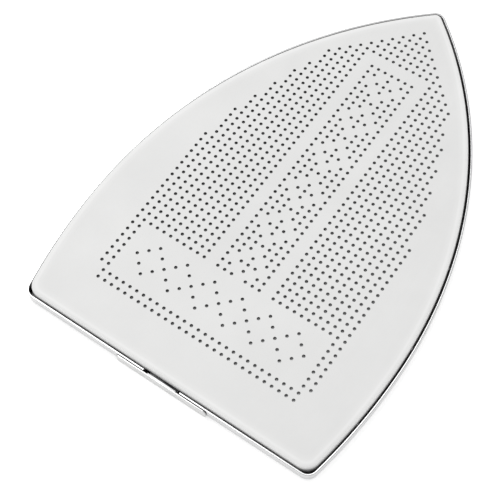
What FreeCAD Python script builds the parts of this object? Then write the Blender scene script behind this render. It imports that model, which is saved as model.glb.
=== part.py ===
"""Iron shoe: a perforated non-stick sole on a metal rim, which clips under a clothes iron.

Millimetres. It lies sole face up, as on a shelf: +Z is up, +Y points to the toe, +X is its right side.
The origin is under the middle of the whole shoe, on the surface that the rim stands on.
"""

import FreeCAD, Part
import math
import os

V = FreeCAD.Vector
UP = V(0, 0, 1)

# ---- overall sizes ----
rim_length = 219.4            # heel face to toe tip of the rim
rim_width = 155.2             # across the widest place
widest_from_heel = 57.7       # where the widest place is
heel_narrowing = 6.3          # on each side, from the widest place to the heel
rim_height = 6.2
sheet_rise = 1.5              # how far the sole face stands above the rim

# ---- walls ----
rim_wall = 0.8
rim_floor = 0.8
inner_wall = 1.0
trim_gap = 0.75               # open joint between the rim and the sheet's skirt
sheet_thickness = 1.2
plate_thickness = 1.0
seat_step = 0.3               # the seat stands this far out of the backing plate
strip_thickness = 0.8         # stamped strip of the clamp, tongue, anchors and keeper
pull_thickness = 0.5

# ---- corners and edges ----
heel_corner = 5.0             # rim, seen from above
sheet_heel_corner = 6.5
nose_radius = 4.5
sheet_nose_radius = 3.0
least_radius = 0.8            # no outline is turned tighter than this
sheet_roll = 1.8              # how the sole face rolls down into the skirt
rim_bend = 1.5                # outer bend at the rim's free edge

# ---- holes in the sole ----
pitch_across = 3.5
pitch_along = 3.57
hole_diameter = 1.4
plate_hole_diameter = 0.9
first_row_from_heel = 22.8
last_row_from_toe = 14.4      # at least
band_half_width = 53.0        # widest row of the ornament's band, at most
field_side_margin = 20.6      # bare sheet beside the field, at the widest place
field_flatness = 1.3          # the field's side arc against the flank's arc
field_inset = 8.0             # the flat middle of the sheet, in which all holes lie
field_corner = 4.0
rear_rows = 2                 # full rows along the heel
band_rows = 7                 # the ornament's band, with an empty row on each side
border_columns = 2
panel_reach = 3               # half of the middle panel
panel_tile = 6                # rows in one tile of the panel
nose_rows = 7                 # full rows at the toe, before the panel's empty row
nose_gap_reach = 4

# ---- heel latch ----
latch_travel = 5.5
window_width = 18.0
pull_width = 44.6
pull_drop = 0.05              # top of the pull plate below the rim's edge
pull_corner = 1.2
pull_gap = 0.3                # between the pull plate and the rim
foot_gap = 0.15               # under the pull plate
tongue_width = 14.0
tongue_foot_drop = 1.2        # the tongue's foot below the pull plate's top
notch_clearance = 2.2         # skirt and inner wall beside the tongue
notch_headroom = 2.6          # skirt and inner wall above the tongue
slide_gap = 0.2
clamp_width = 56.0
clamp_depth = 5.6             # from the clamp's back edge to the iron's heel
clamp_hook = 3.2              # how far the clamp reaches over the iron's heel
clamp_overlap = 5.0           # with the tongue
push_tab_width = 12.0
push_tab_from_middle = 8.0
tab_top_gap = 0.5             # under the seat
latch_rivet_from_middle = 4.0

# ---- springs ----
coil_diameter = 4.2
spring_wire = 0.6
eye_radius = 2.0              # middle line of the end loops
eye_hole = 2.0
ear_width = 5.0
anchor_reach = 4.87           # from the side wall to the spring's outer eye
anchor_lead = 2.2             # the anchor is this much nearer the toe than the ear
anchor_foot = 7.0

# ---- toe keeper and rivets ----
keeper_length = 15.0
keeper_tab = 6.0
strip_level = 0.5             # underside of the clamp and the keeper
rivet_diameter = 1.6
rivet_head_diameter = 3.2
rivet_head = 0.5
rivet_pocket = 0.1            # depth that is faced flat under a rivet's head
rivet_lift = 0.1              # a head stands this far above the keeper's shelf
skirt_rivets_per_side = 5
skirt_rivet_from_heel = 30.0
skirt_rivet_from_toe = 33.4
skirt_clearance = 0.1         # skirt above the rim's floor
seat_clearance = 0.5          # seat beside the rivet heads

# ---- derived places ----
pull_depth = pull_gap + pull_thickness
heel_y = -(rim_length - pull_depth) / 2
toe_y = heel_y + rim_length
widest_y = heel_y + widest_from_heel
half_width = rim_width / 2
trough = trim_gap + sheet_thickness
skirt_inset = rim_wall + trim_gap
core_inset = rim_wall + trough            # inside of the skirt, outside of the inner wall
bay_inset = core_inset + inner_wall       # inside of the inner wall
sole_z = rim_height + sheet_rise
sheet_under_z = sole_z - sheet_thickness
plate_under_z = sheet_under_z - plate_thickness
seat_z = plate_under_z - seat_step
skirt_bottom_z = rim_floor + skirt_clearance
bay_y = heel_y + bay_inset
clamp_back_y = bay_y + latch_travel + slide_gap
iron_heel_y = clamp_back_y + clamp_depth
tongue_level = strip_level + strip_thickness
spring_level = plate_under_z / 2
rivet_level = tongue_level + rivet_lift + rivet_head_diameter / 2
pull_height = rim_height - pull_drop - foot_gap
core_corner = max(least_radius, sheet_heel_corner - sheet_thickness)
bay_corner = max(least_radius, core_corner - inner_wall)
core_nose = max(least_radius, sheet_nose_radius - sheet_thickness)
bay_nose = max(least_radius, core_nose - inner_wall)


def arc_radius(depth, length):
    """Radius of the arc that leaves a straight tangent by this depth over this length."""
    return (depth**2 + length**2) / (2 * depth)


def toe_arc_radius():
    """Flank radius for which the rounded nose ends at the rim's full length."""
    low, high = half_width, 20 * half_width
    for _ in range(60):
        radius = (low + high) / 2
        reach = math.sqrt((radius - nose_radius) ** 2 - (radius - half_width) ** 2) + nose_radius
        if widest_y + reach < toe_y:
            low = radius
        else:
            high = radius
    return radius


flank_radius = toe_arc_radius()
heel_radius = arc_radius(heel_narrowing, widest_from_heel)


def flank_x(y, inset):
    """Half width of the outline at y, before its corners are rounded."""
    radius = flank_radius if y > widest_y else heel_radius
    return half_width - radius + math.sqrt((radius - inset) ** 2 - (y - widest_y) ** 2)


def flank_normal(y, inset):
    """Outward direction of the right flank at y."""
    radius = flank_radius if y > widest_y else heel_radius
    middle = half_width - radius
    return V(flank_x(y, inset) - middle, y - widest_y, 0) / (radius - inset)


def mirrored(point):
    return V(-point.x, point.y, point.z)


def outline(inset, corner, nose, rear_inset=None):
    """Closed outline of the shoe, drawn inwards by inset, with rounded heel corners and nose."""
    rear_y = heel_y + (inset if rear_inset is None else rear_inset)
    nose_center = V(0, widest_y + math.sqrt((flank_radius - inset - nose) ** 2
                                            - (flank_radius - half_width) ** 2), 0)
    flank_center = V(half_width - flank_radius, widest_y, 0)
    nose_start = nose_center + (nose_center - flank_center).normalize() * nose
    tip = nose_center + V(0, nose, 0)
    widest = V(half_width - inset, widest_y, 0)
    heel_center = V(half_width - heel_radius, widest_y, 0)
    corner_y = rear_y + corner
    corner_center = V(heel_center.x + math.sqrt((heel_radius - inset - corner) ** 2
                                                - (corner_y - widest_y) ** 2), corner_y, 0)
    corner_start = corner_center + (corner_center - heel_center).normalize() * corner
    corner_middle = corner_center + V(1, -1, 0).normalize() * corner
    corner_end = V(corner_center.x, rear_y, 0)
    flank_y = (nose_start.y + widest_y) / 2
    flank_middle = V(flank_x(flank_y, inset), flank_y, 0)
    side_y = (corner_start.y + widest_y) / 2
    side_middle = V(flank_x(side_y, inset), side_y, 0)
    edges = [
        Part.Arc(mirrored(nose_start), tip, nose_start).toShape(),
        Part.Arc(nose_start, flank_middle, widest).toShape(),
        Part.Arc(widest, side_middle, corner_start).toShape(),
        Part.Arc(corner_start, corner_middle, corner_end).toShape(),
        Part.LineSegment(corner_end, mirrored(corner_end)).toShape(),
        Part.Arc(mirrored(corner_end), mirrored(corner_middle), mirrored(corner_start)).toShape(),
        Part.Arc(mirrored(corner_start), mirrored(side_middle), mirrored(widest)).toShape(),
        Part.Arc(mirrored(widest), mirrored(flank_middle), mirrored(nose_start)).toShape(),
    ]
    return Part.Wire(edges)


def slab(inset, low_z, high_z, corner, nose):
    """Solid between two heights with the shoe's outline."""
    face = Part.Face(outline(inset, corner, nose))
    face.translate(V(0, 0, low_z))
    return face.extrude(V(0, 0, high_z - low_z))


def box(x0, x1, y0, y1, z0, z1):
    return Part.makeBox(x1 - x0, y1 - y0, z1 - z0, V(x0, y0, z0))


def edges_at(solid, z):
    """Edges that lie wholly at one height."""
    return [e for e in solid.Edges if abs(e.BoundBox.ZMin - z) < 1e-4 and abs(e.BoundBox.ZMax - z) < 1e-4]


def cylinder(start, direction, length, diameter):
    return Part.makeCylinder(diameter / 2, length, start, direction)


def rivet(head_face, direction, grip):
    """Domeless rivet: its head stands inside, its shank is flush with the far side."""
    head = cylinder(head_face - direction * rivet_head, direction, rivet_head, rivet_head_diameter)
    shank = cylinder(head_face, direction, grip, rivet_diameter)
    return head.fuse(shank).removeSplitter()


def rivet_seat(head_face, direction, grip):
    """What is drilled for a rivet: its shank, and a flat under its head where the wall is curved."""
    pocket = cylinder(head_face - direction * rivet_pocket, direction, rivet_pocket, rivet_head_diameter)
    return cylinder(head_face, direction, grip, rivet_diameter).fuse(pocket)


# ---- the hole field ----
def row_y(row):
    return heel_y + first_row_from_heel + row * pitch_along


def row_reach(row):
    """How many columns each side of the middle the field is wide at this row."""
    if row < rear_rows:
        return rear_row_reach
    y = row_y(row)
    bow = field_radius - math.sqrt(field_radius**2 - max(0.0, y - widest_y) ** 2)
    by_flank = math.floor((field_half_width - bow) / pitch_across)
    by_nose = row_count - 1 - row
    return min(column_reach, by_flank, by_nose)


def zigzag(steps, height):
    """Triangle wave: 0 up to height and back again."""
    phase = steps % (2 * height)
    return height - abs(phase - height)


def has_hole(row, column):
    """Whether the sole is pierced here: solid fields, bare margins and two plain diamond ornaments."""
    side = abs(column)
    if side > row_reach(row):
        return False
    band_start = rear_rows
    band_end = rear_rows + band_rows
    if row < band_start:
        return True
    if row < band_end:
        from_middle = abs(row - (band_start + band_rows // 2))
        if side > column_reach - border_columns:
            return True
        return side <= band_reach and from_middle == zigzag(side, 2)
    if row > nose_gap_row:
        return True
    if row == nose_gap_row:
        return side > nose_gap_reach
    if side > panel_reach:
        return side > panel_reach + 1
    tile_row = (row - band_end + 1) % panel_tile
    is_divider = tile_row == 0 or row == nose_gap_row - 1
    if is_divider or side == panel_reach:
        return True
    return side + abs(tile_row - panel_tile // 2) != 2


def hole_places():
    places = []
    for row in range(row_count):
        for column in range(-column_reach, column_reach + 1):
            if has_hole(row, column):
                places.append(V(column * pitch_across, row_y(row), 0))
    return places


def pierced_plate(wire, low_z, high_z, diameter):
    """Flat plate inside the wire with the whole hole field in it."""
    rings = [Part.Wire(Part.makeCircle(diameter / 2, place, UP)) for place in hole_places()]
    face = Part.Face([wire] + rings)
    face.translate(V(0, 0, low_z))
    return face.extrude(V(0, 0, high_z - low_z))


# ---- pieces that stay put ----
def sole_sheet():
    """Non-stick sheet: flat sole, rolled border and a skirt that hangs into the rim."""
    body = slab(skirt_inset, skirt_bottom_z, sole_z, sheet_heel_corner, sheet_nose_radius)
    body = body.makeFillet(sheet_roll, edges_at(body, sole_z))
    hollow = slab(core_inset, skirt_bottom_z, sheet_under_z, core_corner, core_nose)
    hollow = hollow.makeFillet(plate_edge_roll, edges_at(hollow, sheet_under_z))
    notch = box(-notch_half, notch_half, heel_y, bay_y, 0, notch_top_z)
    border = body.cut([hollow, field_block(), notch])
    for place in skirt_rivet_places():
        border = border.cut(cylinder(place[0], place[1], inner_wall + sheet_thickness, rivet_diameter))
    sole = pierced_plate(field_wire(), sheet_under_z, sole_z, hole_diameter)
    return border.fuse(sole).removeSplitter()


def field_wire():
    return outline(field_inset, field_corner, field_corner)


def field_block():
    face = Part.Face(field_wire())
    return face.extrude(V(0, 0, 2 * sole_z))


def backing_plate():
    """Flat metal plate under the sheet, with a slightly proud seat for the iron."""
    body = slab(core_inset, plate_under_z, sheet_under_z, core_corner, core_nose)
    body = body.makeFillet(plate_edge_roll, edges_at(body, sheet_under_z))
    border = body.cut(field_block())
    core = pierced_plate(field_wire(), plate_under_z, sheet_under_z, plate_hole_diameter)
    seat_rear = iron_heel_y + slide_gap - heel_y
    seat_wire = outline(seat_inset, field_corner, field_corner, seat_rear)
    seat = pierced_plate(seat_wire, seat_z, plate_under_z, plate_hole_diameter)
    return border.fuse([core, seat]).removeSplitter()


def rim_band():
    """Bright metal channel all round: outer wall, floor and an inner wall under the plate."""
    body = slab(0, 0, rim_height, heel_corner, nose_radius)
    body = body.makeFillet(rim_bend, edges_at(body, 0))
    trough_block = slab(rim_wall, rim_floor, rim_height, heel_corner - rim_wall, nose_radius - rim_wall)
    core = slab(core_inset, 0, plate_under_z, core_corner, core_nose)
    bay = slab(bay_inset, 0, rim_height, bay_corner, bay_nose)
    body = body.cut([trough_block.cut(core), bay])
    window = box(-window_width / 2, window_width / 2, heel_y - 1, heel_y + rim_wall, 0, rim_height)
    slot = box(-notch_half, notch_half, heel_y + rim_wall, bay_y, tongue_level - slide_gap, notch_top_z)
    body = body.cut([window, slot])
    for place, out in skirt_rivet_places():
        body = body.cut(rivet_seat(place, out, inner_wall))
    for place, out in anchor_rivet_places() + keeper_rivet_places():
        body = body.cut(cylinder(place, out, inner_wall, rivet_diameter))
    return body


def skirt_rivet_places():
    """Start points on the inner wall and outward directions, on both flanks."""
    places = []
    for count in range(skirt_rivets_per_side):
        y = heel_y + skirt_rivet_from_heel + count * skirt_rivet_spacing
        places += flank_places(y)
    return places


def flank_places(y):
    point = V(flank_x(y, bay_inset), y, rivet_level)
    out = flank_normal(y, bay_inset)
    return [(point, out), (mirrored(point), mirrored(out))]


def anchor_rivet_places():
    return flank_places(anchor_y + strip_thickness / 2 - anchor_foot / 2)


def keeper_rivet_places():
    return flank_places(keeper_y + keeper_tab / 2)


def rivet_group(places, grip, lift):
    """Rivets whose heads stand on something of thickness lift inside the wall."""
    return Part.makeCompound([rivet(p - out * lift, out, grip + lift) for p, out in places])


def toe_keeper():
    """Plate across the inside of the toe that the front of the iron slides under, with two tabs."""
    shelf = slab(bay_inset, strip_level, strip_level + strip_thickness, bay_corner, bay_nose)
    lining = slab(bay_inset, strip_level, keeper_top_z, bay_corner, bay_nose)
    lining = lining.cut(slab(bay_inset + strip_thickness, 0, sole_z, bay_corner, least_radius))
    shelf = shelf.common(box(-rim_width, rim_width, keeper_y, toe_y, 0, sole_z))
    tabs = lining.common(box(-rim_width, rim_width, keeper_y, keeper_y + keeper_tab, 0, sole_z))
    keeper = shelf.fuse(tabs).removeSplitter()
    for point, out in keeper_rivet_places():
        keeper = keeper.cut(rivet_seat(point - out * strip_thickness, out, strip_thickness))
    return keeper


def spring_anchor_right():
    """Small angle riveted to the side of the heel bay: its arm holds the spring's outer eye."""
    arm_back = anchor_y - strip_thickness / 2
    arm_front = anchor_y + strip_thickness / 2
    lining = slab(bay_inset, anchor_low_z, anchor_top_z, bay_corner, bay_nose)
    inside = slab(bay_inset + strip_thickness, 0, sole_z, bay_corner, least_radius)
    foot = lining.cut(inside).common(box(0, rim_width, arm_front - anchor_foot, arm_front, 0, sole_z))
    arm = lining.common(box(anchor_from_middle - eye_radius, rim_width, arm_back, arm_front, 0, sole_z))
    anchor = foot.fuse(arm).removeSplitter()
    eye = V(anchor_from_middle, arm_back, spring_level)
    anchor = anchor.cut(cylinder(eye, V(0, 1, 0), strip_thickness, eye_hole))
    point, out = anchor_rivet_places()[0]
    return anchor.cut(rivet_seat(point - out * strip_thickness, out, strip_thickness))


# ---- the sliding latch ----
def pull_plate():
    """Thin outer plate that a finger or a coin pulls."""
    half = pull_width / 2
    low_z = foot_gap
    high_z = foot_gap + pull_height
    plate = box(-half, half, heel_y - pull_depth, heel_y - pull_gap, low_z, high_z)
    upright = [e for e in plate.Edges if abs(e.BoundBox.XMax - e.BoundBox.XMin) < 1e-6
               and abs(e.BoundBox.ZMax - e.BoundBox.ZMin) < 1e-6]
    return plate.makeFillet(pull_corner, upright)


def slide_tongue():
    """Angle welded to the pull plate: its long leg slides through the slot in the rim."""
    half = tongue_width / 2
    face_y = heel_y - pull_gap
    leg = box(-half, half, face_y, clamp_back_y + clamp_overlap, tongue_level, tongue_level + strip_thickness)
    foot = box(-half, half, face_y, face_y + strip_thickness, tongue_level, tongue_foot_top_z)
    tongue = leg.fuse(foot).removeSplitter()
    return drill_latch_rivets(tongue)


def latch_rivet_points():
    y = clamp_back_y + clamp_overlap / 2
    return [V(side * latch_rivet_from_middle, y, strip_level) for side in (-1, 1)]


def drill_latch_rivets(piece):
    for point in latch_rivet_points():
        piece = piece.cut(cylinder(point, UP, 2 * strip_thickness, rivet_diameter))
    return piece


def heel_clamp():
    """Stamped strip: its front edge hooks over the iron's heel, its tabs push the heel forward."""
    low_z = strip_level
    high_z = strip_level + strip_thickness
    half = clamp_width / 2
    front_y = iron_heel_y + clamp_hook
    strip = box(-half, half, clamp_back_y, front_y, low_z, high_z)
    for side in (-1, 1):
        near = side * push_tab_from_middle
        far = near + side * push_tab_width
        tab_x = (min(near, far), max(near, far))
        tab_back = iron_heel_y - strip_thickness
        strip = strip.fuse(box(*tab_x, tab_back, iron_heel_y, high_z, seat_z - tab_top_gap))
        lance = tab_back - (seat_z - tab_top_gap - high_z)
        strip = strip.cut(box(*tab_x, lance, tab_back, low_z, high_z))
        ear_x = (side * half, side * (half - ear_width))
        ear = box(min(ear_x), max(ear_x), clamp_back_y, clamp_back_y + strip_thickness, high_z, ear_top_z)
        strip = strip.fuse(ear)
        eye = V(side * ear_from_middle, clamp_back_y, spring_level)
        strip = strip.cut(cylinder(eye, V(0, 1, 0), strip_thickness, eye_hole))
    return drill_latch_rivets(strip.removeSplitter())


def latch_rivets():
    """Two flush rivets through the clamp and the tongue."""
    return Part.makeCompound([cylinder(p, UP, 2 * strip_thickness, rivet_diameter)
                              for p in latch_rivet_points()])


# ---- springs ----
def spring_right():
    """Extension spring: a close-wound body, drawn as a tube, with a round eye at each end."""
    ear = V(ear_from_middle, clamp_back_y + strip_thickness / 2, spring_level)
    anchor = V(anchor_from_middle, anchor_y, spring_level)
    along = (anchor - ear).normalize()
    span = (anchor - ear).Length
    coil_length = span - 4 * eye_radius + 2 * spring_wire
    start = ear + along * (2 * eye_radius - spring_wire)
    coil = cylinder(start, along, coil_length, coil_diameter)
    coil = coil.cut(cylinder(start, along, coil_length, coil_diameter - 2 * spring_wire))
    eyes = [Part.makeTorus(eye_radius, spring_wire / 2, ear + along * eye_radius, UP),
            Part.makeTorus(eye_radius, spring_wire / 2, anchor - along * eye_radius, UP)]
    return coil.fuse(eyes).removeSplitter()


# ---- places worked out from the outline ----
field_half_width = half_width - field_side_margin
field_radius = flank_radius * field_flatness
row_count = math.floor((rim_length - first_row_from_heel - last_row_from_toe) / pitch_along) + 1
nose_gap_row = row_count - nose_rows - 1
column_reach = math.floor(min(band_half_width, field_half_width) / pitch_across)
rear_row_reach = column_reach - 1
band_reach = column_reach - border_columns - 1
skirt_rivet_span = rim_length - skirt_rivet_from_heel - skirt_rivet_from_toe
skirt_rivet_spacing = skirt_rivet_span / (skirt_rivets_per_side - 1)
plate_edge_roll = min(0.6, plate_thickness / 2)
seat_inset = bay_inset + strip_thickness + rivet_head + seat_clearance
notch_half = tongue_width / 2 + notch_clearance
notch_top_z = tongue_level + strip_thickness + notch_headroom
ear_from_middle = clamp_width / 2 - ear_width / 2
ear_top_z = spring_level + eye_hole
anchor_y = clamp_back_y + strip_thickness / 2 + anchor_lead
anchor_from_middle = flank_x(anchor_y, bay_inset) - anchor_reach
anchor_low_z = strip_level
anchor_top_z = spring_level + eye_hole
keeper_y = toe_y - bay_inset - keeper_length
keeper_top_z = rivet_level + rivet_head_diameter / 2
tongue_foot_top_z = foot_gap + pull_height - tongue_foot_drop

right_spring = spring_right()
right_anchor = spring_anchor_right()
middle = (V(0, 0, 0), V(1, 0, 0))

pieces = {
    "sole_sheet": sole_sheet(),
    "backing_plate": backing_plate(),
    "rim_band": rim_band(),
    "skirt_rivets": rivet_group(skirt_rivet_places(), inner_wall + sheet_thickness, 0),
    "toe_keeper": toe_keeper(),
    "toe_keeper_rivets": rivet_group(keeper_rivet_places(), inner_wall, strip_thickness),
    "spring_anchor_right": right_anchor,
    "spring_anchor_left": right_anchor.mirror(*middle),
    "anchor_rivets": rivet_group(anchor_rivet_places(), inner_wall, strip_thickness),
    "spring_right": right_spring,
    "spring_left": right_spring.mirror(*middle),
    "pull_plate": pull_plate(),
    "slide_tongue": slide_tongue(),
    "heel_clamp": heel_clamp(),
    "latch_rivets": latch_rivets(),
}

os.makedirs("parts", exist_ok=True)
for name, shape in pieces.items():
    shape.exportStep("parts/" + name + ".step")
    print(name, "solids", len(shape.Solids), "volume", round(shape.Volume, 1), "valid", shape.isValid())
print("holes", len(hole_places()), "flank radius", round(flank_radius, 1), "heel radius", round(heel_radius, 1))
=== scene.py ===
# %% [markdown]
# # An iron shoe, seen from its sole
# A pressing iron can scorch or shine a dark cloth. An iron shoe stops that: it is a pale non-stick sheet in a bright
# metal rim that clips under the iron. This lesson dresses its design model, piece by piece, in good shapes and
# finishes. The design model is loaded first. It is the fixed frame: every piece below is worked out from its boxes.

import math

import bmesh
import bpy
from mathutils import Matrix, Vector


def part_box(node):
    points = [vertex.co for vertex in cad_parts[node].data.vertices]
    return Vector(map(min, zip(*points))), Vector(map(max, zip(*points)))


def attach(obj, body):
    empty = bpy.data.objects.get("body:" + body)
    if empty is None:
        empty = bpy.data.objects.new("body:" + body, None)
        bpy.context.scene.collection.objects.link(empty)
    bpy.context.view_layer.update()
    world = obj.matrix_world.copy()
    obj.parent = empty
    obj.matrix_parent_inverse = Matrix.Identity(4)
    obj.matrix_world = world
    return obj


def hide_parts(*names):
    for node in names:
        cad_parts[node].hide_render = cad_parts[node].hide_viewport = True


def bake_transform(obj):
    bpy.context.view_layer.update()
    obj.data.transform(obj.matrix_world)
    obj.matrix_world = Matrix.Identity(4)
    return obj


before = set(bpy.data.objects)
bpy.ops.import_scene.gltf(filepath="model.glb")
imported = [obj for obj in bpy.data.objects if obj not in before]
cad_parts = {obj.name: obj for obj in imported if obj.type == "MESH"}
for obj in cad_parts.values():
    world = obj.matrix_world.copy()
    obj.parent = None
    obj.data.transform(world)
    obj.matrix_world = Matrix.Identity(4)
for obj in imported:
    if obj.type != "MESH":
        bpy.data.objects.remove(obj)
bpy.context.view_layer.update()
MM = 0.001

# %% [markdown]
# ## The shoe's outline
# One outline runs through nearly every piece. Each half has a long arc for the flank, a flatter arc beside the heel,
# and small arcs for the nose and the heel corner. Drawn inwards by an inset, the same rule gives the skirt, the inner
# wall and the edge of the hole field. A formula is better here than a drawn curve, because all rings of points then
# have the same count and can be joined into smooth surfaces.

# %% Outline sizes, read from the frame where it has them
rim_low, rim_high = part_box("rim_band")
sheet_low, sheet_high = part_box("sole_sheet")
plate_low, plate_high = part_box("backing_plate")
heel_y = rim_low.y
toe_y = rim_high.y
half_width = rim_high.x
rim_top = rim_high.z
sole_z = sheet_high.z
skirt_inset = sheet_low.y - heel_y
skirt_bottom = sheet_low.z
sheet_thickness = sole_z - plate_high.z
core_inset = skirt_inset + sheet_thickness
inner_wall = 1.0 * MM
bay_inset = core_inset + inner_wall
widest_y = heel_y + 57.7 * MM
heel_half_width = 71.3 * MM
heel_corner = 5.0 * MM
nose_radius = 4.5 * MM
sheet_corner = 6.5 * MM
sheet_nose = 3.0 * MM
least_radius = 0.8 * MM
print("length and width of the rim, in mm:", (toe_y - heel_y) / MM, 2 * half_width / MM)


# %% The two large arcs
def nose_reach(radius):
    """How far the nose stands in front of the widest place when the flank has this radius."""
    return math.sqrt((radius - nose_radius) ** 2 - (radius - half_width) ** 2) + nose_radius


def solve_flank():
    low, high = half_width, 20 * half_width
    for _ in range(60):
        middle = (low + high) / 2
        if widest_y + nose_reach(middle) < toe_y:
            low = middle
        else:
            high = middle
    return middle


flank_radius = solve_flank()
heel_depth = half_width - heel_half_width
heel_radius = (heel_depth**2 + (widest_y - heel_y) ** 2) / (2 * heel_depth)
print("flank and heel arcs, in mm:", flank_radius / MM, heel_radius / MM)


# %% A ring of points at any inset
def arc(center, radius, start, end, count):
    """Points on an arc, without the last one."""
    angles = [start + (end - start) * i / count for i in range(count)]
    return [(center[0] + radius * math.cos(a), center[1] + radius * math.sin(a)) for a in angles]


def heel_line(x0, y, marks):
    """Points along the straight heel, from a corner to its middle, closer beside the marks."""
    hair = 0.01 * MM
    stops = [x0] + [mark + side * hair for mark in sorted(marks, reverse=True) for side in (1, -1)]
    points = []
    for left, right in zip(stops, stops[1:] + [0.0]):
        count = 1 if left - right < 3 * hair else 8
        points += [(left + (right - left) * i / count, y) for i in range(count)]
    return points


def ring(inset, corner, nose, marks=(), rear=None):
    """The outline drawn inwards by inset, as points that go clockwise from the toe, seen from above."""
    rear_y = heel_y + (inset if rear is None else rear)
    flank_middle = (half_width - flank_radius, widest_y)
    heel_middle = (half_width - heel_radius, widest_y)
    nose_y = widest_y + math.sqrt((flank_radius - inset - nose) ** 2 - (flank_radius - half_width) ** 2)
    turn = math.atan2(nose_y - widest_y, -flank_middle[0])
    corner_y = rear_y + corner
    corner_x = heel_middle[0] + math.sqrt((heel_radius - inset - corner) ** 2 - (corner_y - widest_y) ** 2)
    dip = math.atan2(corner_y - widest_y, corner_x - heel_middle[0])
    half = arc((0, nose_y), nose, math.pi / 2, turn, 10)
    half += arc(flank_middle, flank_radius - inset, turn, 0, 72)
    half += arc(heel_middle, heel_radius - inset, 0, dip, 24)
    half += arc((corner_x, corner_y), corner, dip, -math.pi / 2, 12)
    half += heel_line(corner_x, rear_y, marks)
    left = [(-x, y) for x, y in reversed(half[1:])]
    return half + [(0, rear_y)] + left


def rim_ring(inset, marks=()):
    return ring(inset, heel_corner - inset, nose_radius - inset, marks)


def sheet_ring(inset, marks=()):
    """Rings of the sheet and of all that lies inside its skirt."""
    further = inset - skirt_inset
    return ring(inset, max(least_radius, sheet_corner - further), max(least_radius, sheet_nose - further), marks)


print("points in one ring:", len(rim_ring(0)))

# %% [markdown]
# ## Skinning rings
# A wall that runs round the shoe is a stack of rings. The skin joins each ring to the next, and the last to the first
# where the wall is closed. The order matters: rings go clockwise, and the stack goes outwards over the top and down
# the outside, so that all faces point out of the metal. A UV map measures along the ring and across the stack, in
# metres, for rolled lines that follow the wall.


# %% Skin
def skin(name, rings, closed, shades=None):
    """A mesh over a stack of rings. shades gives one value per ring, kept as the attribute 'edge'."""
    count = len(rings[0])
    points = [point for each in rings for point in each]
    faces = []
    for i in range(len(rings) if closed else len(rings) - 1):
        low = i * count
        high = (i + 1) % len(rings) * count
        faces += [(low + j, low + (j + 1) % count, high + (j + 1) % count, high + j) for j in range(count)]
    mesh = bpy.data.meshes.new(name)
    mesh.from_pydata(points, [], faces)
    edge = mesh.attributes.new("edge", "FLOAT", "POINT")
    values = shades or [0.0] * len(rings)
    edge.data.foreach_set("value", [value for value in values for _ in range(count)])
    along, across = [0.0], [0.0]
    for j in range(count):
        along.append(along[-1] + (Vector(rings[0][(j + 1) % count]) - Vector(rings[0][j])).length)
    for i in range(len(rings)):
        across.append(across[-1] + (Vector(rings[(i + 1) % len(rings)][0]) - Vector(rings[i][0])).length)
    uv = mesh.uv_layers.new(name="wall")
    for f in range(len(faces)):
        i, j = divmod(f, count)
        corners = [(j, i), (j + 1, i), (j + 1, i + 1), (j, i + 1)]
        for k, (u, v) in enumerate(corners):
            uv.data[4 * f + k].uv = (along[u], across[v])
    return mesh


def at(points, z):
    """Flat points lifted to a height, which may be a rule of x and y."""
    return [(x, y, z(x, y) if callable(z) else z) for x, y in points]


def piece(name, mesh, material=None):
    """A new object for a mesh, in the scene, at the origin."""
    mesh.name = name
    thing = bpy.data.objects.new(name, mesh)
    bpy.context.scene.collection.objects.link(thing)
    if material:
        mesh.materials.clear()
        mesh.materials.append(material)
    return thing


def smooth(mesh, degrees=35):
    """Shade smooth, but keep edges that turn by more than this."""
    mesh.shade_smooth()
    mesh.set_sharp_from_angle(angle=math.radians(degrees))


def quarter(inset, z, radius, steps, start, end):
    """Insets and heights on a quarter turn about a middle; 0 degrees points to the shoe's middle, 90 up."""
    turns = [math.radians(start + (end - start) * i / steps) for i in range(steps + 1)]
    return [(inset + radius * math.cos(a), z + radius * math.sin(a)) for a in turns]


# %% [markdown]
# ## Writing node trees as expressions
# Node trees are easier to read as sums than as boxes and wires. The class below wraps one socket, so that a plus sign
# adds a Math node. All other nodes come from one method, which takes the node's type, its settings and its sockets.


# %% Sockets with operators
class Wire:
    """One output socket of a node tree."""

    def __init__(self, graph, socket):
        self.graph = graph
        self.socket = socket

    def math(self, operation, first, second=0.0):
        return self.graph.node("ShaderNodeMath", {0: first, 1: second}, operation=operation)

    def __add__(self, other):
        return self.math("ADD", self, other)

    def __radd__(self, other):
        return self.math("ADD", other, self)

    def __sub__(self, other):
        return self.math("SUBTRACT", self, other)

    def __rsub__(self, other):
        return self.math("SUBTRACT", other, self)

    def __mul__(self, other):
        return self.math("MULTIPLY", self, other)

    def __rmul__(self, other):
        return self.math("MULTIPLY", other, self)

    def __truediv__(self, other):
        return self.math("DIVIDE", self, other)

    def __rtruediv__(self, other):
        return self.math("DIVIDE", other, self)

    def __pow__(self, other):
        return self.math("POWER", self, other)

    def ramp(self, low, high, start=0.0, end=1.0):
        """This value spread from low..high to start..end, held at both ends."""
        return self.graph.node("ShaderNodeMapRange", {0: self, 1: low, 2: high, 3: start, 4: end})


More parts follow.
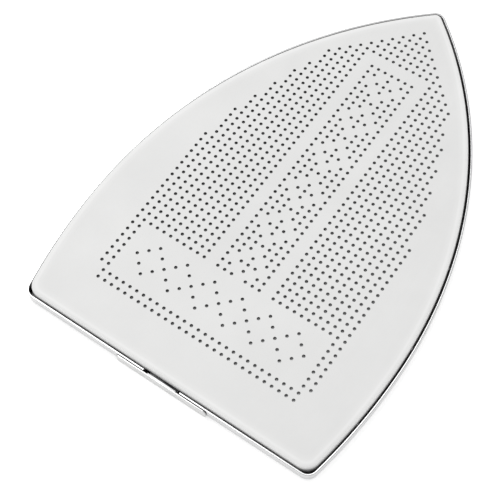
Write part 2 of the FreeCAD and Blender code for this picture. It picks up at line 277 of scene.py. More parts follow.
class Graph:
    """A node tree that is being written."""

    def __init__(self, tree):
        self.tree = tree

    def node(self, kind, sockets=None, out=0, stops=None, **settings):
        made = self.tree.nodes.new(kind)
        for name, value in settings.items():
            setattr(made, name, value)
        if stops:
            made.color_ramp.elements[0].position, made.color_ramp.elements[0].color = stops[0]
            made.color_ramp.elements[1].position, made.color_ramp.elements[1].color = stops[-1]
            for position, color in stops[1:-1]:
                made.color_ramp.elements.new(position).color = color
        for name, value in (sockets or {}).items():
            values = value if isinstance(value, list) else [value]
            for each in values:
                if isinstance(each, Wire):
                    self.tree.links.new(each.socket, made.inputs[name])
                else:
                    made.inputs[name].default_value = each
        return Wire(self, made.outputs[out])

    def split(self, vector):
        """The three parts of a vector."""
        parts = self.node("ShaderNodeSeparateXYZ", {0: vector}).socket.node.outputs
        return [Wire(self, part) for part in parts]


# %% [markdown]
# ## Finishes
# Every finish starts from the piece's own place in metres, so its grain has a real size. Colour, roughness and bump
# vary a little, as they do on handled metal. What is the same all over is set on the shader itself.


# %% Material helper
def finish(name, write, **constants):
    """A material whose varying inputs are written by a function, and whose other inputs are constants."""
    made = bpy.data.materials.new(name)
    made.use_nodes = True
    tree = made.node_tree
    tree.nodes.clear()
    graph = Graph(tree)
    place = graph.node("ShaderNodeTexCoord", out="Object")
    varying = write(graph, place)
    sockets = {key.replace("_", " "): value for key, value in constants.items()}
    sockets.update(varying)
    shader = graph.node("ShaderNodeBsdfPrincipled", sockets)
    output = tree.nodes.new("ShaderNodeOutputMaterial")
    tree.links.new(shader.socket, output.inputs["Surface"])
    return made


def noise(graph, place, scale, detail=3.0, roughness=0.5, stretch=(1, 1, 1)):
    """Cloudy values from 0 to 1. scale is in patches per metre."""
    spot = graph.node("ShaderNodeMapping", {"Vector": place, "Scale": stretch})
    return graph.node("ShaderNodeTexNoise", {"Vector": spot, "Scale": scale, "Detail": detail,
                                             "Roughness": roughness})


def blend(graph, factor, first, second):
    """A colour between two colours or wires, by a value from 0 to 1."""
    return graph.node("ShaderNodeMix", {0: factor, 6: first, 7: second}, out=2, data_type="RGBA")


def tint(graph, factor, dark, light):
    return blend(graph, factor, (*dark, 1), (*light, 1))


def bump(graph, height, strength, depth):
    return graph.node("ShaderNodeBump", {"Height": height, "Strength": strength, "Distance": depth})


# %% [markdown]
# ### The non-stick sheet
# It is pressed fluoropolymer: pale, satin and almost even, with cloudy tone, a very fine grain, and faint rubbed
# lines along the ironing direction. The rolled border is a little paler. The walls of the punched holes get painted
# shade, darkest at the heel and the left flank; the skirt in the rim's trough gets painted shade too, except on the
# left.


# %% Painted shade in the holes and the trough
hole_shade_per_metre = (16.0, 7.0)
hole_shade_black = (0.02, 0.02, 0.02)
hole_shade_grey = (0.42, 0.42, 0.42)
skirt_shade_dark = (0.10, 0.10, 0.10, 1)
rim_shade_dark = (0.06, 0.06, 0.06, 1)
plate_hole_shade = (0.05, 0.05, 0.05, 1)


def hole_shade_color(graph, place):
    """Painted shade for the hole walls: nearly black at the heel and the left flank, greyer towards the toe and the
    right flank.
    """
    x, y, z = graph.split(place)
    reach = x * hole_shade_per_metre[0] + y * hole_shade_per_metre[1]
    return tint(graph, reach.ramp(-0.7, 1.3) ** 1.6, hole_shade_black, hole_shade_grey)


def painted_shade_share(graph, place):
    """How much painted shade the trough gets: full all round, but none on the left flank, where light reaches into
    the gap.
    """
    x, y, z = graph.split(place)
    return (y * 0.5 - x).ramp(0.02, 0.045, 1.0, 0.0)


# %% Sheet finish
def write_sheet(graph, place):
    cloud = noise(graph, place, 45, 4.0, 0.55)
    grain = noise(graph, place, 2600, 2.0, 0.6)
    rubs = noise(graph, place, 240, 5.0, 0.7, (1, 0.04, 1))
    border = graph.node("ShaderNodeAttribute", attribute_name="edge", out="Fac")
    punch = graph.node("ShaderNodeAttribute", attribute_name="punch", out="Fac")
    tone = cloud * 0.6 + rubs * 0.25 + border * 0.55
    unshaded_sheet = tint(graph, tone.ramp(0.2, 1.1), (0.73, 0.73, 0.725), (0.86, 0.86, 0.855))
    # Painted shade on the skirt down in the trough, none on the left flank.
    painted_shade = (0.0 - border).ramp(0.35, 0.8) * painted_shade_share(graph, place)
    before_hole_shade = blend(graph, painted_shade, unshaded_sheet, skirt_shade_dark)
    # Painted shade down each hole's wall, deepest at the hole's bottom.
    hole_shade = punch.ramp(0.0, 0.55)
    color = blend(graph, hole_shade, before_hole_shade, hole_shade_color(graph, place))
    return {"Base Color": color, "Roughness": (rubs * 0.16 + grain * 0.05 + 0.36),
            "Normal": bump(graph, grain * 0.6 + rubs * 0.4, 0.12, 0.02 * MM)}


sheet_finish = finish("ptfe_sheet", write_sheet, Specular_IOR_Level=0.45)


# %% [markdown]
# ### Rolled and polished metal
# The rim is a rolled channel. Rolling leaves hair lines along the band, so this finish reads the UV map that the skin
# made: lines that are long one way and very thin the other.


# %% Rim finish
def write_rim(graph, place):
    wall = graph.node("ShaderNodeUVMap", uv_map="wall")
    lines = noise(graph, wall, 900, 3.0, 0.6, (0.02, 6, 1))
    cloud = noise(graph, place, 60, 3.0)
    smears = noise(graph, wall, 160, 4.0, 0.65, (0.3, 2, 1))
    tone = lines * 0.35 + cloud * 0.35 + smears * 0.3
    # Painted shade: the trough and the bottom bend are darkened, none on the left flank.
    shaded = graph.node("ShaderNodeAttribute", attribute_name="edge", out="Fac")
    painted_shade = shaded * painted_shade_share(graph, place)
    bright = tint(graph, tone.ramp(0.25, 0.75), (0.53, 0.53, 0.535), (0.61, 0.61, 0.61))
    color = blend(graph, painted_shade, bright, rim_shade_dark)
    return {"Base Color": color,
            "Roughness": (lines * 0.12 + smears * 0.12 + 0.16),
            "Normal": bump(graph, lines, 0.10, 0.01 * MM)}


rim_finish = finish("bright_rim", write_rim, Metallic=1.0)


# %% Metal with lines along one axis
def write_strip(dark, light, stretch, rough):
    """A rule for brushed strip: hair lines along one axis, cloudy tone and a few finger marks."""
    def write(graph, place):
        lines = noise(graph, place, 1500, 3.0, 0.65, stretch)
        cloud = noise(graph, place, 110, 4.0, 0.6)
        marks = noise(graph, place, 38, 2.0, 0.5)
        tone = lines * 0.45 + cloud * 0.35 + marks * 0.2
        return {"Base Color": tint(graph, tone.ramp(0.25, 0.75), dark, light),
                "Roughness": (lines * 0.14 + marks * 0.14 + rough),
                "Normal": bump(graph, lines, 0.14, 0.012 * MM)}
    return write


along_x = (0.02, 1, 1)
along_y = (1, 0.02, 1)
pull_finish = finish("bright_strip", write_strip((0.53, 0.53, 0.53), (0.62, 0.62, 0.615), along_x, 0.16),
                     Metallic=1.0)
strip_finish = finish("spring_steel_strip", write_strip((0.40, 0.40, 0.41), (0.60, 0.60, 0.60), along_x, 0.26),
                      Metallic=1.0)
rivet_finish = finish("rivet_aluminium", write_strip((0.58, 0.58, 0.60), (0.76, 0.76, 0.77), (1, 1, 1), 0.32),
                      Metallic=1.0)
wire_finish = finish("spring_wire", write_strip((0.34, 0.34, 0.35), (0.55, 0.55, 0.55), (1, 1, 1), 0.22),
                     Metallic=1.0)


# %% Plate finish
def write_plate(graph, place):
    """Mill-finish aluminium: lines along the shoe, cloudy oxide, and painted shade down each hole's wall."""
    lines = noise(graph, place, 1300, 3.0, 0.6, along_y)
    cloud = noise(graph, place, 32, 5.0, 0.6)
    scuffs = noise(graph, place, 420, 2.0, 0.7, (0.08, 1, 1))
    punch = graph.node("ShaderNodeAttribute", attribute_name="punch", out="Fac")
    tone = lines * 0.35 + cloud * 0.45 + scuffs * 0.2
    before_hole_shade = tint(graph, tone.ramp(0.25, 0.75), (0.56, 0.565, 0.57), (0.72, 0.725, 0.73))
    # Painted shade down each hole's wall, deepest at the hole's bottom.
    color = blend(graph, punch.ramp(0.0, 1.2), before_hole_shade, plate_hole_shade)
    return {"Base Color": color, "Roughness": (lines * 0.12 + cloud * 0.16 + 0.30),
            "Normal": bump(graph, lines * 0.7 + scuffs * 0.3, 0.16, 0.015 * MM)}


plate_finish = finish("plate_aluminium", write_plate, Metallic=1.0)

# %% [markdown]
# ## The hole field
# The sole is punched on a square lattice. Bare margins set off a band of diamonds near the heel and a tall panel of
# diamonds up the middle. A rule says whether a place on the lattice has a hole.

# %% Lattice sizes
pitch_across = 3.5 * MM
pitch_along = 3.57 * MM
first_row_y = heel_y + 22.8 * MM
row_count = 52
column_reach = 15
rear_rows = 2
rear_row_reach = 14
band_rows = 7
band_reach = 12
border_columns = 2
panel_reach = 3
panel_tile = 6
nose_gap_row = 44
nose_gap_reach = 4
field_half_width = 57.0 * MM
field_radius = 273.0 * MM


# %% The rule of the field
def row_y(row):
    return first_row_y + row * pitch_along


def row_reach(row):
    """Columns on each side of the middle one."""
    if row < rear_rows:
        return rear_row_reach
    bow = field_radius - math.sqrt(field_radius**2 - max(0.0, row_y(row) - widest_y) ** 2)
    by_flank = math.floor((field_half_width - bow) / pitch_across)
    return min(column_reach, by_flank, row_count - 1 - row)


def zigzag(steps, height):
    """Triangle wave: 0 up to height and back again."""
    return height - abs(steps % (2 * height) - height)


def has_hole(row, column):
    side = abs(column)
    band_end = rear_rows + band_rows
    if side > row_reach(row):
        return False
    if row < rear_rows:
        return True
    if row < band_end:
        from_middle = abs(row - (rear_rows + band_rows // 2))
        in_border = side > column_reach - border_columns
        return in_border or side <= band_reach and from_middle == zigzag(side, 2)
    if row > nose_gap_row:
        return True
    if row == nose_gap_row:
        return side > nose_gap_reach
    if side > panel_reach:
        return side > panel_reach + 1
    tile_row = (row - band_end + 1) % panel_tile
    if tile_row == 0 or row == nose_gap_row - 1 or side == panel_reach:
        return True
    return side + abs(tile_row - panel_tile // 2) != 2


hole_centers = [(column * pitch_across, row_y(row)) for row in range(row_count)
                for column in range(-column_reach, column_reach + 1) if has_hole(row, column)]
print("holes:", len(hole_centers))

# %% [markdown]
# ## Punching with Geometry Nodes
# A thousand holes are too many to cut one by one. The tree below takes a mesh with three kinds of points: the border
# (already skinned), the outline of the field, and the hole centres. It sets a circle on each centre, fills the
# outline around the circles for both faces, and sets a collar with a softly turned lip in each hole. Merging by
# distance sews all of it into one closed shell.

# %% Punching tree
BORDER, FIELD, CENTER = 0, 1, 2


def open_tree(name, **inputs):
    """A new geometry tree, and its inputs as wires. Each input is a name and a kind of socket."""
    tree = bpy.data.node_groups.new(name, "GeometryNodeTree")
    tree.interface.new_socket("Geometry", in_out="INPUT", socket_type="NodeSocketGeometry")
    for key, kind in inputs.items():
        tree.interface.new_socket(key.replace("_", " "), in_out="INPUT", socket_type="NodeSocket" + kind)
    tree.interface.new_socket("Geometry", in_out="OUTPUT", socket_type="NodeSocketGeometry")
    graph = Graph(tree)
    start = tree.nodes.new("NodeGroupInput")
    return graph, {socket.name: Wire(graph, socket) for socket in start.outputs if socket.name}


def close_tree(graph, shape, material):
    """Give the shape its material and send it out of the tree."""
    colored = graph.node("GeometryNodeSetMaterial", {"Geometry": shape, "Material": material})
    end = graph.tree.nodes.new("NodeGroupOutput")
    graph.tree.links.new(colored.socket, end.inputs[0])
    return graph.tree


def punching_tree():
    graph, given = open_tree("punched_panel", Hole_Radius="Float", Lip="Float", Top="Float", Bottom="Float",
                             Sides="Int", Material="Material")
    role = graph.node("GeometryNodeInputNamedAttribute", {"Name": "role"}, data_type="INT")

    def only(value):
        picked = graph.node("FunctionNodeCompare", {2: role, 3: value}, data_type="INT", operation="EQUAL")
        return graph.node("GeometryNodeSeparateGeometry", {0: given["Geometry"], 1: picked}, domain="POINT")

    outline = graph.node("GeometryNodeMeshToCurve", {0: only(FIELD)})
    centers = only(CENTER)

    def face(radius, height):
        circle = graph.node("GeometryNodeCurvePrimitiveCircle", {"Resolution": given["Sides"], "Radius": radius})
        circles = graph.node("GeometryNodeInstanceOnPoints", {"Points": centers, "Instance": circle})
        flat = graph.node("GeometryNodeRealizeInstances", {0: circles})
        both = graph.node("GeometryNodeJoinGeometry", {0: [outline, flat]})
        filled = graph.node("GeometryNodeFillCurve", {0: both}, mode="TRIANGLES")
        lift = graph.node("ShaderNodeCombineXYZ", {2: height})
        return graph.node("GeometryNodeTransform", {"Geometry": filled, "Translation": lift})

    depth = given["Top"] - given["Bottom"]
    tube = graph.node("GeometryNodeMeshCylinder", {"Vertices": given["Sides"], "Side Segments": 3,
                                                   "Radius": given["Hole Radius"], "Depth": depth},
                      fill_type="NONE")
    spot = graph.node("GeometryNodeInputPosition")
    x, y, z = graph.split(spot)
    share = z / depth + 0.5
    widen = 1.0 + given["Lip"] / given["Hole Radius"] * share ** 6.0
    turned_out = graph.node("ShaderNodeCombineXYZ", {0: x * widen, 1: y * widen,
                                                     2: given["Bottom"] + depth * share ** 0.25})
    marked = graph.node("GeometryNodeStoreNamedAttribute", {"Geometry": tube, "Name": "punch", "Value": 1.0 - share},
                        data_type="FLOAT", domain="POINT")
    collar = graph.node("GeometryNodeSetPosition", {"Geometry": marked, "Position": turned_out})
    inside_out = graph.node("GeometryNodeFlipFaces", {0: collar})
    soft = graph.node("GeometryNodeSetShadeSmooth", {0: inside_out, "Shade Smooth": True})
    collars = graph.node("GeometryNodeInstanceOnPoints", {"Points": centers, "Instance": soft})
    top = face(given["Hole Radius"] + given["Lip"], given["Top"])
    bottom = graph.node("GeometryNodeFlipFaces", {0: face(given["Hole Radius"], given["Bottom"])})
    whole = graph.node("GeometryNodeJoinGeometry", {0: [only(BORDER), top, bottom, collars]})
    real = graph.node("GeometryNodeRealizeInstances", {0: whole})
    sewn = graph.node("GeometryNodeMergeByDistance", {"Geometry": real, "Distance": 0.002 * MM})
    return close_tree(graph, sewn, given["Material"])


# %% Running a tree once
def grown(name, mesh, tree, values):
    """The plain mesh that a tree makes from a mesh, with its named inputs set."""
    seed = piece(name + "_seed", mesh)
    modifier = seed.modifiers.new("grow", "NODES")
    modifier.node_group = tree
    inputs = {item.name: item.identifier for item in tree.interface.items_tree if item.in_out == "INPUT"}
    for key, value in values.items():
        modifier[inputs[key]] = value
    bpy.context.view_layer.update()
    result = bpy.data.meshes.new_from_object(seed.evaluated_get(bpy.context.evaluated_depsgraph_get()))
    seed.modifiers.remove(modifier)
    bpy.data.objects.remove(seed)
    print(name, "has", len(result.vertices), "points and", len(result.polygons), "faces")
    return result


def with_roles(border, field):
    """The skinned border, the outline of the hole field and all hole centres in one mesh."""
    body = bmesh.new()
    body.from_mesh(border)
    layer = body.verts.layers.int.new("role")
    loop = [body.verts.new((x, y, 0)) for x, y in field]
    for vert, following in zip(loop, loop[1:] + loop[:1]):
        vert[layer] = FIELD
        body.edges.new((vert, following))
    for x, y in hole_centers:
        body.verts.new((x, y, 0))[layer] = CENTER
    body.to_mesh(border)
    body.free()
    return border


punch_panel = punching_tree()

# %% [markdown]
# ## The sole sheet
# The sheet is moulded over the plate: flat on top, rolled at its edge, and turned down into a skirt that hangs in the
# rim. The border is skinned from rings, and the tree fills and punches its flat middle. Use has made the middle sink
# by a millimetre and pushed the sheet a little to the left, so the flat mesh is bent by a formula at the end.

# %% Sole sheet
field_inset = 8.0 * MM
field_corner = 4.0 * MM
sheet_roll = 1.8 * MM
inner_roll = 0.5 * MM
notch_half = 9.2 * MM
notch_top = sole_z - 3.0 * MM
hole_radius = 0.7 * MM
hole_lip = 0.1 * MM
dish_depth = 1.0 * MM
dish_across = 50.0 * MM
dish_along = 91.17 * MM
creep = 0.25 * MM
edge_spread = 1.4


def field_ring(marks=()):
    return ring(field_inset, field_corner, field_corner, marks)


def dish(mesh):
    """Bend a flat mesh as wear bends the sheet: its middle sinks, and it creeps a little to the left."""
    count = len(mesh.vertices)
    flat = [0.0] * (3 * count)
    mesh.vertices.foreach_get("co", flat)
    for i in range(0, 3 * count, 3):
        rise = (flat[i] / dish_across) ** 2 + (flat[i + 1] / dish_along) ** 2
        leftness = max(0.0, -flat[i] / half_width)
        flat[i] -= creep * (1 + edge_spread * leftness**3)
        flat[i + 2] -= dish_depth * (1 - math.tanh(rise))
    mesh.vertices.foreach_set("co", flat)
    mesh.update()


def skirt_edge(x, y):
    """Height of the skirt's lower edge: it is notched over the latch's tongue."""
    in_notch = abs(x) < notch_half and y < heel_y + bay_inset
    return notch_top if in_notch else skirt_bottom


def skirt_foot(x, y):
    """Height below which the skirt gets painted shade, down in the rim's trough."""
    return max(skirt_edge(x, y) + 0.3 * MM, rim_top - 1.2 * MM)


def sole_border():
    marks = (notch_half,)
    roll_inset = skirt_inset + sheet_roll
    rings = [at(field_ring(marks), sole_z)]
    shades = [0.0]
    for share, shade in ((0.35, 0.0), (0.75, 0.35), (0.93, 1.0)):
        inset = field_inset + (roll_inset - field_inset) * share
        soft = field_corner * (1 - share)
        rings.append(at(ring(inset, max(soft, sheet_corner - sheet_roll), max(soft, 1.4 * MM), marks), sole_z))
        shades.append(shade)
    for inset, z in quarter(roll_inset, sole_z - sheet_roll, sheet_roll, 8, 90, 180):
        rings.append(at(sheet_ring(inset, marks), z))
        shades.append(1.0)
    under_z = sole_z - sheet_thickness
    # Negative shades mark the skirt in the trough, which gets painted shade.
    lower = [(skirt_inset, skirt_foot, -0.35), (skirt_inset, skirt_edge, -1.0), (core_inset, skirt_edge, -1.0)]
    lower += [(core_inset, under_z - inner_roll, 0.0), (core_inset + inner_roll, under_z, 0.0)]
    for inset, z, shade in lower:
        rings.append(at(sheet_ring(inset, marks), z))
        shades.append(shade)
    rings.append(at(field_ring(marks), under_z))
    shades.append(0.0)
    mesh = skin("sole", rings, False, shades)
    smooth(mesh)
    return mesh


sole_mesh = grown("sole", with_roles(sole_border(), field_ring((notch_half,))), punch_panel, {
    "Hole Radius": hole_radius, "Lip": hole_lip, "Top": sole_z, "Bottom": sole_z - sheet_thickness,
    "Sides": 14, "Material": sheet_finish})
dish(sole_mesh)
sole = piece("perforated_sole", sole_mesh)
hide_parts("sole_sheet")
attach(sole, "root")

# %% [markdown]
# ## The backing plate
# Under the sheet lies an aluminium plate. The iron rests on its seat, which stands a little proud. It is punched on
# the same lattice with smaller holes, so the same tree makes it.

# %% Backing plate
seat_z = plate_low.z
plate_under = seat_z + 0.3 * MM
plate_top = plate_high.z
plate_roll = 0.5 * MM
seat_inset = 5.55 * MM
seat_rear = 15.25 * MM
seat_soften = 0.1 * MM
plate_hole_radius = 0.45 * MM


def plate_border():
    rings = [at(field_ring(), plate_top)]
    for inset, z in quarter(core_inset + plate_roll, plate_top - plate_roll, plate_roll, 4, 90, 180):
        rings.append(at(sheet_ring(inset), z))
    rings.append(at(sheet_ring(core_inset), plate_under))
    for inset, z in ((0.0, plate_under), (seat_soften, seat_z + seat_soften), (2 * seat_soften, seat_z)):
        rings.append(at(ring(seat_inset + inset, field_corner, field_corner, rear=seat_rear + inset), z))
    rings.append(at(ring(field_inset, field_corner, field_corner, rear=seat_rear + 1.0 * MM), seat_z))
    mesh = skin("plate", rings, False)
    smooth(mesh, 30)
    return mesh


plate_mesh = grown("plate", with_roles(plate_border(), field_ring()), punch_panel, {
    "Hole Radius": plate_hole_radius, "Lip": 0.05 * MM, "Top": plate_top, "Bottom": seat_z,
    "Sides": 10, "Material": plate_finish})
dish(plate_mesh)
plate = piece("punched_plate", plate_mesh)
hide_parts("backing_plate")
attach(plate, "root")

# %% [markdown]
# ## The rim
# The rim is one strip of bright aluminium, rolled into a channel and bent round the shoe. Its outer wall is seen from
# above, its floor is the edge that the shoe stands on, and its inner wall holds the plate. The section is drawn
# clockwise round the metal, with small radii where a rolled strip turns. A window and a slot are then cut at the
# heel.

# %% Rim section
rim_wall = 0.8 * MM
rim_floor = 0.8 * MM
rim_bend = 1.5 * MM
edge_round = 0.18 * MM
floor_round = 0.3 * MM


def rim_section():
    """Insets and heights round the metal of the channel, from the top of the outer wall down its outside."""
    section = quarter(edge_round, rim_top - edge_round, edge_round, 3, 90, 180)
    section += quarter(rim_bend, rim_bend, rim_bend, 7, 180, 270)
    section += quarter(bay_inset - edge_round, edge_round, edge_round, 3, 270, 360)
    section += quarter(bay_inset - edge_round, plate_under - edge_round, edge_round, 3, 0, 90)
    section += quarter(core_inset + edge_round, plate_under - edge_round, edge_round, 3, 90, 180)
    section += quarter(core_inset - floor_round, rim_floor + floor_round, floor_round, 3, 360, 270)
    section += quarter(rim_wall + floor_round, rim_floor + floor_round, floor_round, 3, 270, 180)
    section += quarter(rim_wall - edge_round, rim_top - edge_round, edge_round, 3, 0, 90)
    return section


def in_trough(inset, z):
    """Whether this place on the section faces the trough, which gets painted shade."""
    between = rim_wall - 0.1 * edge_round < inset < core_inset + 0.1 * edge_round
    return between and rim_floor - edge_round < z < rim_top - 2 * edge_round


def rim_shell():
    outer_limit = (rim_wall + core_inset) / 2
    section = rim_section()
    rings = [at(rim_ring(inset) if inset < outer_limit else sheet_ring(inset), z) for inset, z in section]
    # Painted shade: full in the trough, a quarter on the bottom bend where it meets the floor.
    shades = [1.0 if in_trough(inset, z) else 0.25 if z < rim_bend else 0.0 for inset, z in section]
    mesh = skin("rim", rings, True, shades)
    smooth(mesh, 40)
    return mesh


# %% Cutting the window and the slot
pull_low, pull_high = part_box("pull_plate")
tongue_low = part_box("slide_tongue")[0]
window_half = 9.0 * MM
slide_gap = 0.2 * MM
strip = 0.8 * MM


def block(x0, x1, y0, y1, z0, z1):
    """A plain box, for cutting."""
    body = bmesh.new()
    bmesh.ops.create_cube(body, size=1)
    size = Vector((x1 - x0, y1 - y0, z1 - z0))
    middle = Vector((x0 + x1, y0 + y1, z0 + z1)) / 2
    bmesh.ops.transform(body, matrix=Matrix.Translation(middle) @ Matrix.Diagonal((*size, 1)), verts=body.verts)
    mesh = bpy.data.meshes.new("block")
    body.to_mesh(mesh)
    body.free()
    return mesh


def cut(thing, blocks):
    """The thing's mesh with every block taken out of it."""
    tools = [piece("cutter", mesh) for mesh in blocks]
    for tool in tools:
        modifier = thing.modifiers.new("cut", "BOOLEAN")
        modifier.operation = "DIFFERENCE"
        modifier.solver = "EXACT"
        modifier.object = tool
    bpy.context.view_layer.update()
    result = bpy.data.meshes.new_from_object(thing.evaluated_get(bpy.context.evaluated_depsgraph_get()))
    thing.modifiers.clear()
    thing.data = result
    for tool in tools:
        bpy.data.objects.remove(tool)


rim = piece("bright_rim_channel", rim_shell(), rim_finish)
cut(rim, [block(-window_half, window_half, heel_y - 1 * MM, heel_y + rim_wall, -1 * MM, rim_top + 1 * MM),
          block(-notch_half, notch_half, heel_y + rim_wall + 1 * MM, heel_y + bay_inset + 1 * MM,
                tongue_low.z - slide_gap, notch_top)])
smooth(rim.data, 40)
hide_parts("rim_band")
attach(rim, "root")
print("rim faces:", len(rim.data.polygons))

# %% [markdown]
# ## The latch plate
# This thin plate is all that a user touches. It is sheared from strip and tumbled, so its edges are a little round
# and its corners are turned. A rounded rectangle with a bevel says that in a few faces.


# %% Latch plate
def rounded_plate(name, low, high, corner, soften, material):
    """A plate that stands across Y, with turned corners and softened edges."""
    body = bmesh.new()
    middle = [(high.x - corner, high.z - corner, 0), (low.x + corner, high.z - corner, 90),
              (low.x + corner, low.z + corner, 180), (high.x - corner, low.z + corner, 270)]
    points = []
    for x, z, start in middle:
        for step in range(9):
            turn = math.radians(start + 90 * step / 8)
            points.append(body.verts.new((x + corner * math.cos(turn), low.y, z + corner * math.sin(turn))))
    front = body.faces.new(points)
    made = bmesh.ops.extrude_face_region(body, geom=[front])
    moved = [each for each in made["geom"] if isinstance(each, bmesh.types.BMVert)]
    bmesh.ops.translate(body, vec=(0, high.y - low.y, 0), verts=moved)
    bmesh.ops.recalc_face_normals(body, faces=body.faces)
    mesh = bpy.data.meshes.new(name)
    body.to_mesh(mesh)
    body.free()
    thing = piece(name, mesh, material)
    soften_edges(thing, soften)
    return thing


def soften_edges(thing, width, degrees=35):
    """Round every sharp edge of a solid by a small bevel, and make it a plain mesh."""
    bevel = thing.modifiers.new("soften", "BEVEL")
    bevel.width = width
    bevel.segments = 2
    bevel.limit_method = "ANGLE"
    bevel.angle_limit = math.radians(degrees)
    bevel.harden_normals = True
    thing.data.shade_smooth()
    bpy.context.view_layer.update()
    result = bpy.data.meshes.new_from_object(thing.evaluated_get(bpy.context.evaluated_depsgraph_get()))
    thing.modifiers.clear()
    thing.data = result


pull = rounded_plate("latch_plate", pull_low, pull_high, 1.2 * MM, 0.12 * MM, pull_finish)
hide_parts("pull_plate")
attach(pull, "latch")

# %% [markdown]
# ## Stamped strip parts
# The tongue, clamp, anchors and keeper are stamped from spring steel strip. Their shapes are right in the design
# model, but its edges are knife sharp. A merged copy with a fine bevel catches the light as a tumbled edge does.


# %% Softened copies
def softened(name, node, material, body, width):
    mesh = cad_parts[node].data.copy()
    work = bmesh.new()
    work.from_mesh(mesh)
    bmesh.ops.remove_doubles(work, verts=work.verts, dist=0.001 * MM)
    bmesh.ops.dissolve_limit(work, angle_limit=math.radians(1), verts=work.verts, edges=work.edges)
    work.to_mesh(mesh)
    work.free()
    thing = piece(name, mesh, material)
    soften_edges(thing, width)
    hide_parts(node)
    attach(thing, body)
    print(name, "faces:", len(thing.data.polygons))
    return thing


strip_edge = 0.09 * MM
softened("tongue_angle", "slide_tongue", strip_finish, "latch", strip_edge)
softened("clamp_strip", "heel_clamp", strip_finish, "latch", strip_edge)
softened("keeper_strip", "toe_keeper", strip_finish, "root", strip_edge)
softened("anchor_angle_left", "spring_anchor_left", strip_finish, "root", strip_edge)
softened("anchor_angle_right", "spring_anchor_right", strip_finish, "root", strip_edge)

# %% [markdown]
# ## Rivets with Geometry Nodes
# Each row of rivets is one mesh of points, and each point knows which way its rivet looks. The tree sets the same
# turned rivet on every point: a low head that is crowned a little, and a short shank.

# %% Rivet tree
OUT_Z = Vector((0, 0, 1))


def turned(name, profile, sides):
    """A solid turned about Z from radii and heights, closed at both poles."""
    body = bmesh.new()
    rows = []
    for radius, z in profile:
        if radius < 1e-9:
            rows.append([body.verts.new((0, 0, z))])
        else:
            turns = [2 * math.pi * i / sides for i in range(sides)]
            rows.append([body.verts.new((radius * math.cos(a), radius * math.sin(a), z)) for a in turns])
    for upper, lower in zip(rows, rows[1:]):
        for i in range(sides):
            j = (i + 1) % sides
            corners = [upper[i % len(upper)], lower[i % len(lower)], lower[j % len(lower)], upper[j % len(upper)]]
            body.faces.new(list(dict.fromkeys(corners)))
    bmesh.ops.recalc_face_normals(body, faces=body.faces)
    mesh = bpy.data.meshes.new(name)
    body.to_mesh(mesh)
    body.free()
    smooth(mesh, 50)
    return mesh


def rivet_tree():
    graph, given = open_tree("rivet_row", Rivet="Object", Material="Material")
    look = graph.node("GeometryNodeInputNamedAttribute", {"Name": "look"}, data_type="FLOAT_VECTOR")
    turn = graph.node("FunctionNodeAlignEulerToVector", {"Vector": look}, axis="Z")
    shape = graph.node("GeometryNodeObjectInfo", {"Object": given["Rivet"]}, out="Geometry")
    rivets = graph.node("GeometryNodeInstanceOnPoints", {"Points": given["Geometry"], "Instance": shape,
                                                         "Rotation": turn})
    real = graph.node("GeometryNodeRealizeInstances", {0: rivets})
    return close_tree(graph, real, given["Material"])


set_rivets = rivet_tree()


# %% Rivet sizes and rows
head_radius = 1.6 * MM
head_height = 0.5 * MM
shank_radius = 0.8 * MM
rivet_level = 3.0 * MM
spring_level = 2.75 * MM


def flank_spot(y, inset):
    """A point on the flank and the direction out of it, on the right side."""
    radius = flank_radius if y > widest_y else heel_radius
    middle = half_width - radius
    x = middle + math.sqrt((radius - inset) ** 2 - (y - widest_y) ** 2)
    out = Vector((x - middle, y - widest_y, 0)).normalized()
    return Vector((x, y, rivet_level)), out


def both_sides(ys, lift):
    """Places on the inner wall and the way each rivet's head looks, on both flanks."""
    spots = []
    for y in ys:
        place, out = flank_spot(y, bay_inset)
        place = place - out * lift
        spots.append((place, -out))
        spots.append((Vector((-place.x, place.y, place.z)), Vector((out.x, -out.y, 0))))
    return spots


def rivet_row(name, node, spots, grip, body="root"):
    """Rivets on these spots: the head stands on the spot, the shank goes back through the grip."""
    bulge = 0.02 * MM
    profile = [(0, head_height), (0.55 * head_radius, head_height - bulge), (0.86 * head_radius, head_height * 0.82),
               (head_radius, head_height * 0.5), (head_radius, 0)]
    profile += [(shank_radius, 0), (shank_radius, -grip), (0, -grip)]
    shape = piece("rivet", turned("rivet", profile, 16))
    points = bpy.data.meshes.new("spots")
    points.from_pydata([place for place, look in spots], [], [])
    looks = points.attributes.new("look", "FLOAT_VECTOR", "POINT")
    looks.data.foreach_set("vector", [value for place, look in spots for value in look])
    mesh = grown(name, points, set_rivets, {"Rivet": shape, "Material": rivet_finish})
    bpy.data.objects.remove(shape)
    thing = piece(name, mesh)
    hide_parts(node)
    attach(thing, body)


anchor_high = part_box("spring_anchor_right")[1]
keeper_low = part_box("toe_keeper")[0]
first_rivet = 30.0 * MM
rivet_spacing = 39.0 * MM
anchor_half_foot = 3.5 * MM
keeper_half_tab = 3.0 * MM
skirt_ys = [heel_y + first_rivet + rivet_spacing * i for i in range(5)]
rivet_row("skirt_rivet_row", "skirt_rivets", both_sides(skirt_ys, 0), core_inset - skirt_inset + inner_wall)
rivet_row("anchor_rivet_pair", "anchor_rivets", both_sides([anchor_high.y - anchor_half_foot], strip),
          inner_wall + strip)
rivet_row("keeper_rivet_pair", "toe_keeper_rivets", both_sides([keeper_low.y + keeper_half_tab], strip),
          inner_wall + strip)

# %% [markdown]
# ### Flush rivets in the latch
# The tongue and the clamp are held by two rivets that are hammered flush, so that nothing catches the iron. Each is a
# short turned peg with a shallow dimple.


